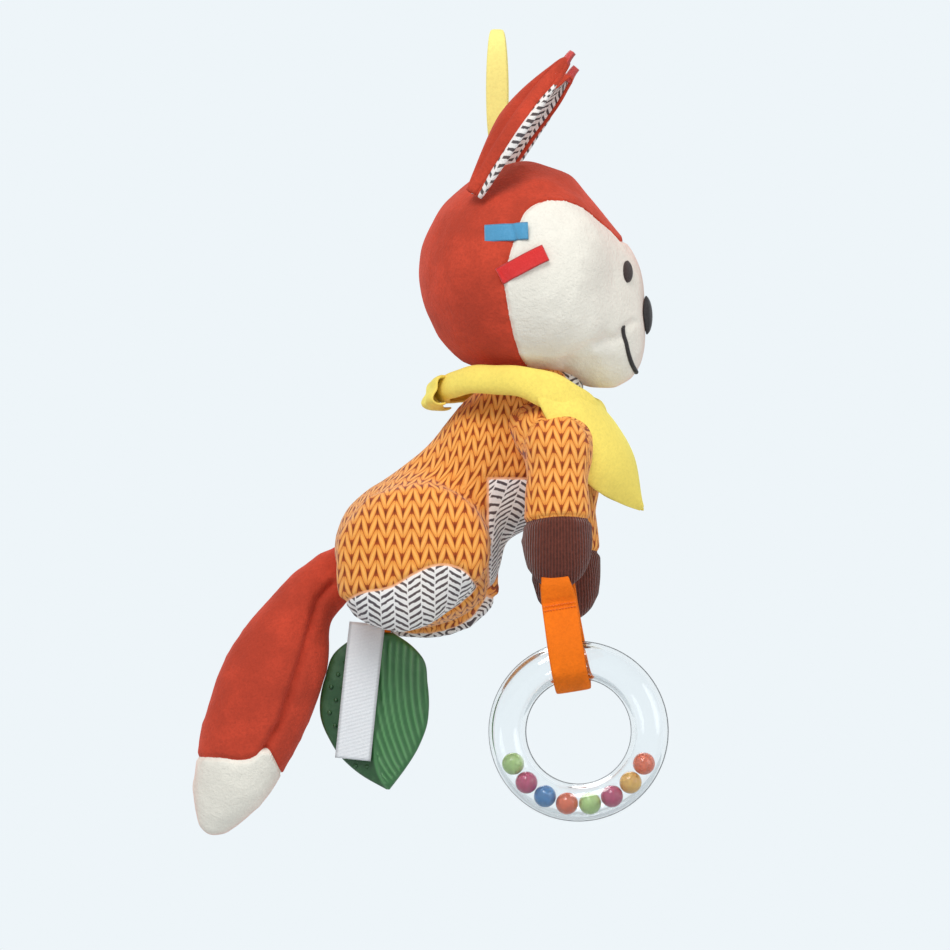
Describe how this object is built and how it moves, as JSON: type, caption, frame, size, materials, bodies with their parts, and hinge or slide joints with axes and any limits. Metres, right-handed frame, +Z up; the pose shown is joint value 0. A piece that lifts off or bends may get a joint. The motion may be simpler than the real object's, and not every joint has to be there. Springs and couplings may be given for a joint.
{
  "type": "hanging plush rattle",
  "caption": "Plush fox that hangs from a loop, with a clear ring of loose beads strapped to one paw, a silicone leaf teether and crackling ears.",
  "frame": {"origin": "inside of the top of the hanging loop, where the hook that holds it touches", "axes": "+Z up, +X the way the fox looks; the fox's right side faces -Y"},
  "size_m": [0.1744, 0.0886, 0.2955],
  "materials": {
    "velour_red": "matt plush velour",
    "velour_cream": "matt plush velour",
    "print_knit": "cotton printed with a knit pattern",
    "print_herringbone": "cotton printed with a herringbone of dark dashes",
    "velour_brown": "ribbed velour",
    "velour_yellow": "smooth velour",
    "strap_orange": "smooth velour",
    "ribbon_blue": "satin ribbon",
    "ribbon_red": "satin ribbon",
    "ribbon_coral": "satin ribbon",
    "satin_white": "woven satin",
    "clear_plastic": "clear moulded plastic",
    "teether_green": "semi-gloss silicone",
    "embroidery_dark": "satin-stitch embroidery",
    "stuffing_white": "polyester fibre",
    "crinkle_film": "thin crackling film",
    "bead_green": "gloss",
    "bead_pink": "gloss",
    "bead_blue": "gloss",
    "bead_orange": "gloss",
    "bead_yellow": "gloss"
  },
  "bodies": {
    "loop": {"hanging_loop": "velour_yellow"},
    "head": {"head_hood": "velour_red", "head_face": "velour_cream", "head_stuffing": "stuffing_white", "nose": "embroidery_dark", "eye_right": "embroidery_dark", "eye_left": "embroidery_dark", "mouth_stitch": "embroidery_dark", "tab_blue_right": "ribbon_blue", "tab_red_right": "ribbon_red", "tab_blue_left": "ribbon_blue", "tab_red_left": "ribbon_red"},
    "ear_right": {"ear_right_back": "velour_red", "ear_right_front": "print_herringbone", "ear_right_film": "crinkle_film", "ear_right_tab": "ribbon_coral"},
    "ear_left": {"ear_left_back": "velour_red", "ear_left_front": "print_herringbone", "ear_left_film": "crinkle_film", "ear_left_tab": "ribbon_coral"},
    "trunk": {"torso_cover": "print_knit", "belly_gusset": "print_herringbone", "torso_stuffing": "stuffing_white", "haunch_right_cover": "print_knit", "haunch_right_sole": "print_herringbone", "haunch_right_stuffing": "stuffing_white", "haunch_left_cover": "print_knit", "haunch_left_sole": "print_herringbone", "haunch_left_stuffing": "stuffing_white", "scarf_band": "velour_yellow", "scarf_knot": "velour_yellow"},
    "flap": {"scarf_flap": "velour_yellow"},
    "arm_right": {"sleeve_right": "print_knit", "paw_right": "velour_brown", "arm_right_stuffing": "stuffing_white"},
    "arm_left": {"sleeve_left": "print_knit", "paw_left": "velour_brown", "arm_left_stuffing": "stuffing_white", "paw_loop_left": "strap_orange"},
    "tail": {"tail_cover": "velour_red", "tail_tip": "velour_cream", "tail_stuffing": "stuffing_white"},
    "teether": {"leaf_teether": "teether_green", "teether_ribbon": "strap_orange"},
    "label": {"care_label": "satin_white"},
    "strap": {"ring_strap": "strap_orange"},
    "ring": {"ring_front_shell": "clear_plastic", "ring_rear_shell": "clear_plastic"},
    "bead_1": {"bead_1": "bead_green"},
    "bead_2": {"bead_2": "bead_pink"},
    "bead_3": {"bead_3": "bead_blue"},
    "bead_4": {"bead_4": "bead_orange"},
    "bead_5": {"bead_5": "bead_green"},
    "bead_6": {"bead_6": "bead_pink"},
    "bead_7": {"bead_7": "bead_yellow"},
    "bead_8": {"bead_8": "bead_orange"}
  },
  "joints": [
    {"name": "loop_swing", "type": "hinge", "parent": "loop", "child": "head", "pos_m": [0, 0, -0.04], "axis": [1, 0, 0], "range_deg": [-35, 35]},
    {"name": "ear_right_fold", "type": "hinge", "parent": "head", "child": "ear_right", "pos_m": [-0.00234, -0.028, -0.05496], "axis": [-0.5621, 0.7314, 0.3863], "range_deg": [-12, 30], "stiffness_Nm_per_rad": 0.02},
    {"name": "ear_left_fold", "type": "hinge", "parent": "head", "child": "ear_left", "pos_m": [-0.00234, 0.028, -0.05496], "axis": [0.5621, 0.7314, -0.3863], "range_deg": [-12, 30], "stiffness_Nm_per_rad": 0.02},
    {"name": "neck_turn", "type": "hinge", "parent": "head", "child": "trunk", "pos_m": [0.00829, 0, -0.13388], "axis": [0.2078, -0.0073, 0.9781], "range_deg": [-30, 30], "stiffness_Nm_per_rad": 0.06},
    {"name": "flap_lift", "type": "hinge", "parent": "trunk", "child": "flap", "pos_m": [0.03898, -0.00107, -0.13988], "axis": [-0.0349, -0.9994, 0], "range_deg": [0, 40]},
    {"name": "arm_right_swing", "type": "hinge", "parent": "trunk", "child": "arm_right", "pos_m": [0.02275, -0.02712, -0.16168], "axis": [-0.0349, -0.9994, 0], "range_deg": [-6, 40], "stiffness_Nm_per_rad": 0.05},
    {"name": "arm_left_swing", "type": "hinge", "parent": "trunk", "child": "arm_left", "pos_m": [0.02461, 0.02605, -0.17098], "axis": [-0.0349, -0.9994, 0], "range_deg": [-6, 40], "stiffness_Nm_per_rad": 0.05},
    {"name": "tail_swing", "type": "hinge", "parent": "trunk", "child": "tail", "pos_m": [-0.07126, 0.00278, -0.20768], "axis": [0.0349, 0.9994, 0], "range_deg": [0, 35]},
    {"name": "teether_swing", "type": "hinge", "parent": "trunk", "child": "teether", "pos_m": [-0.04228, 0.00177, -0.21418], "axis": [0.9994, -0.0349, 0], "range_deg": [0, 45]},
    {"name": "label_swing", "type": "hinge", "parent": "trunk", "child": "label", "pos_m": [-0.04742, -0.00206, -0.21918], "axis": [-0.9994, 0.0349, 0], "range_deg": [0, 60]},
    {"name": "strap_swing", "type": "hinge", "parent": "arm_right", "child": "strap", "pos_m": [0.02275, -0.02712, -0.20598], "axis": [-0.0349, -0.9994, 0], "range_deg": [-25, 12]},
    {"name": "ring_flap", "type": "hinge", "parent": "strap", "child": "ring", "pos_m": [0.03016, -0.02738, -0.23043], "axis": [0.9994, -0.0349, 0], "range_deg": [-60, 60]},
    {"name": "bead_1_roll", "type": "hinge", "parent": "ring", "child": "bead_1", "pos_m": [0.03016, -0.02738, -0.25618], "axis": [0.0349, 0.9994, 0], "continuous": true},
    {"name": "bead_2_roll", "type": "hinge", "parent": "ring", "child": "bead_2", "pos_m": [0.03016, -0.02738, -0.25618], "axis": [0.0349, 0.9994, 0], "continuous": true},
    {"name": "bead_3_roll", "type": "hinge", "parent": "ring", "child": "bead_3", "pos_m": [0.03016, -0.02738, -0.25618], "axis": [0.0349, 0.9994, 0], "continuous": true},
    {"name": "bead_4_roll", "type": "hinge", "parent": "ring", "child": "bead_4", "pos_m": [0.03016, -0.02738, -0.25618], "axis": [0.0349, 0.9994, 0], "continuous": true},
    {"name": "bead_5_roll", "type": "hinge", "parent": "ring", "child": "bead_5", "pos_m": [0.03016, -0.02738, -0.25618], "axis": [0.0349, 0.9994, 0], "continuous": true},
    {"name": "bead_6_roll", "type": "hinge", "parent": "ring", "child": "bead_6", "pos_m": [0.03016, -0.02738, -0.25618], "axis": [0.0349, 0.9994, 0], "continuous": true},
    {"name": "bead_7_roll", "type": "hinge", "parent": "ring", "child": "bead_7", "pos_m": [0.03016, -0.02738, -0.25618], "axis": [0.0349, 0.9994, 0], "continuous": true},
    {"name": "bead_8_roll", "type": "hinge", "parent": "ring", "child": "bead_8", "pos_m": [0.03016, -0.02738, -0.25618], "axis": [0.0349, 0.9994, 0], "continuous": true}
  ],
  "couplings": [
    {"joint": "bead_2_roll", "follows": "bead_1_roll", "ratio": 1},
    {"joint": "bead_3_roll", "follows": "bead_1_roll", "ratio": 1},
    {"joint": "bead_4_roll", "follows": "bead_1_roll", "ratio": 1},
    {"joint": "bead_5_roll", "follows": "bead_1_roll", "ratio": 1},
    {"joint": "bead_6_roll", "follows": "bead_1_roll", "ratio": 1},
    {"joint": "bead_7_roll", "follows": "bead_1_roll", "ratio": 1},
    {"joint": "bead_8_roll", "follows": "bead_1_roll", "ratio": 1}
  ]
}
